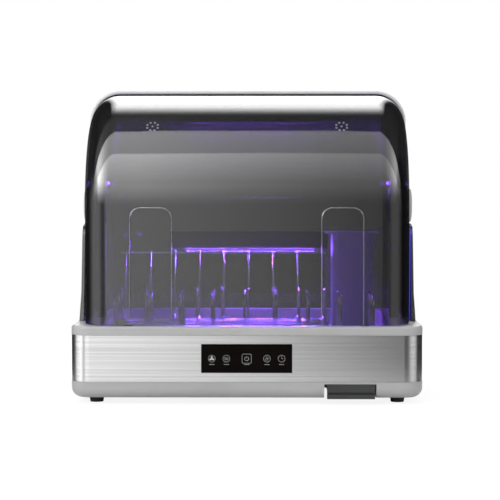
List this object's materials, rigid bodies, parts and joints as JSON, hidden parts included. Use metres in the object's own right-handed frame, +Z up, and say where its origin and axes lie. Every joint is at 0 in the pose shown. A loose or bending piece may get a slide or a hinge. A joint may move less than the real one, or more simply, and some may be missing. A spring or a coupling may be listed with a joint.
{
  "type": "dish sterilizer cabinet",
  "caption": "Countertop dish sterilizer: smoked flip-up hood over wire racks, brushed steel base with touch panel, hot-air blower and slide-out drip drawer.",
  "frame": {"origin": "centre of the base on the table, under the rubber feet", "axes": "+X to the right seen from the front, -Y towards the user, +Z up"},
  "size_m": [0.508, 0.35, 0.4581],
  "materials": {
    "silver_plastic": "fine satin texture",
    "brushed_steel": "brushed along X",
    "black_rubber": "matt",
    "zinc_steel": "zinc plated",
    "black_glass": "polished",
    "circuit_board": "lacquered",
    "white_light": "clear lens",
    "board_parts": "moulded",
    "dark_plastic": "fine texture",
    "fin_aluminium": "bright",
    "smoke_clear": "polished smoked plastic",
    "white_nylon": "moulded",
    "lamp_glass": "clear",
    "uv_glow": "lit violet",
    "rack_steel": "polished wire"
  },
  "bodies": {
    "base": {"lower_housing": "silver_plastic", "base_chassis": "dark_plastic", "steel_band": "brushed_steel", "top_deck": "silver_plastic", "rubber_feet": "black_rubber", "foot_screws": "zinc_steel", "housing_screws": "zinc_steel", "cabin_screws": "zinc_steel", "touch_panel": "black_glass", "control_board": "circuit_board", "touch_springs": "zinc_steel", "indicator_lights": "white_light", "power_board": "circuit_board", "power_board_parts": "board_parts", "uv_ballast": "board_parts", "mains_inlet": "dark_plastic", "inlet_pins": "zinc_steel", "blower_housing": "dark_plastic", "blower_motor": "zinc_steel", "ptc_frame": "dark_plastic", "ptc_fins": "fin_aluminium", "air_duct": "dark_plastic", "outlet_grille": "silver_plastic", "drain_strainer": "zinc_steel", "drawer_rail_left": "dark_plastic", "drawer_rail_right": "dark_plastic", "rear_shell": "smoke_clear", "side_panel_left": "smoke_clear", "side_panel_right": "smoke_clear", "hinge_post_left": "dark_plastic", "hinge_post_right": "dark_plastic", "hinge_pin_left": "zinc_steel", "hinge_pin_right": "zinc_steel", "hinge_washers": "black_rubber", "pivot_cap_left": "silver_plastic", "pivot_cap_right": "silver_plastic", "reed_switch": "lamp_glass", "lamp_housing": "fin_aluminium", "uv_lamp_tube": "uv_glow", "lamp_end_caps": "fin_aluminium", "lamp_holders": "white_nylon", "lamp_guard": "rack_steel", "uv_lights": "uv_glow"},
    "cover": {"front_cover": "smoke_clear", "hinge_bush_left": "white_nylon", "hinge_bush_right": "white_nylon", "cover_bumpers": "black_rubber", "cover_magnet": "zinc_steel"},
    "drip_drawer": {"drip_tray": "dark_plastic", "drawer_front": "dark_plastic"},
    "fan_rotor": {"blower_rotor": "dark_plastic", "motor_shaft": "zinc_steel"},
    "bowl_rack": {"bowl_rack_frame": "rack_steel", "bowl_rack_dividers": "rack_steel", "bowl_rack_feet": "black_rubber"},
    "plate_rack": {"plate_rack_frame": "rack_steel", "plate_rack_dividers": "rack_steel", "plate_rack_feet": "black_rubber"},
    "utensil_basket": {"utensil_holder": "smoke_clear"}
  },
  "joints": [
    {"name": "cover_hinge", "type": "hinge", "parent": "base", "child": "cover", "pos_m": [0, -0.002, 0.2836], "axis": [-1, 0, 0], "range_deg": [0, 92]},
    {"name": "drawer_slide", "type": "slide", "parent": "base", "child": "drip_drawer", "axis": [0, -1, 0], "range_m": [0, 0.11]},
    {"name": "fan_spin", "type": "hinge", "parent": "base", "child": "fan_rotor", "pos_m": [-0.125, 0.04, 0.0446], "axis": [0, 0, 1], "continuous": true},
    {"name": "bowl_rack_lift", "type": "slide", "parent": "base", "child": "bowl_rack", "axis": [0, 0, 1], "range_m": [0, 0.04]},
    {"name": "plate_rack_lift", "type": "slide", "parent": "base", "child": "plate_rack", "axis": [0, 0, 1], "range_m": [0, 0.04]},
    {"name": "basket_lift", "type": "slide", "parent": "base", "child": "utensil_basket", "axis": [0, 0, 1], "range_m": [0, 0.04]}
  ]
}
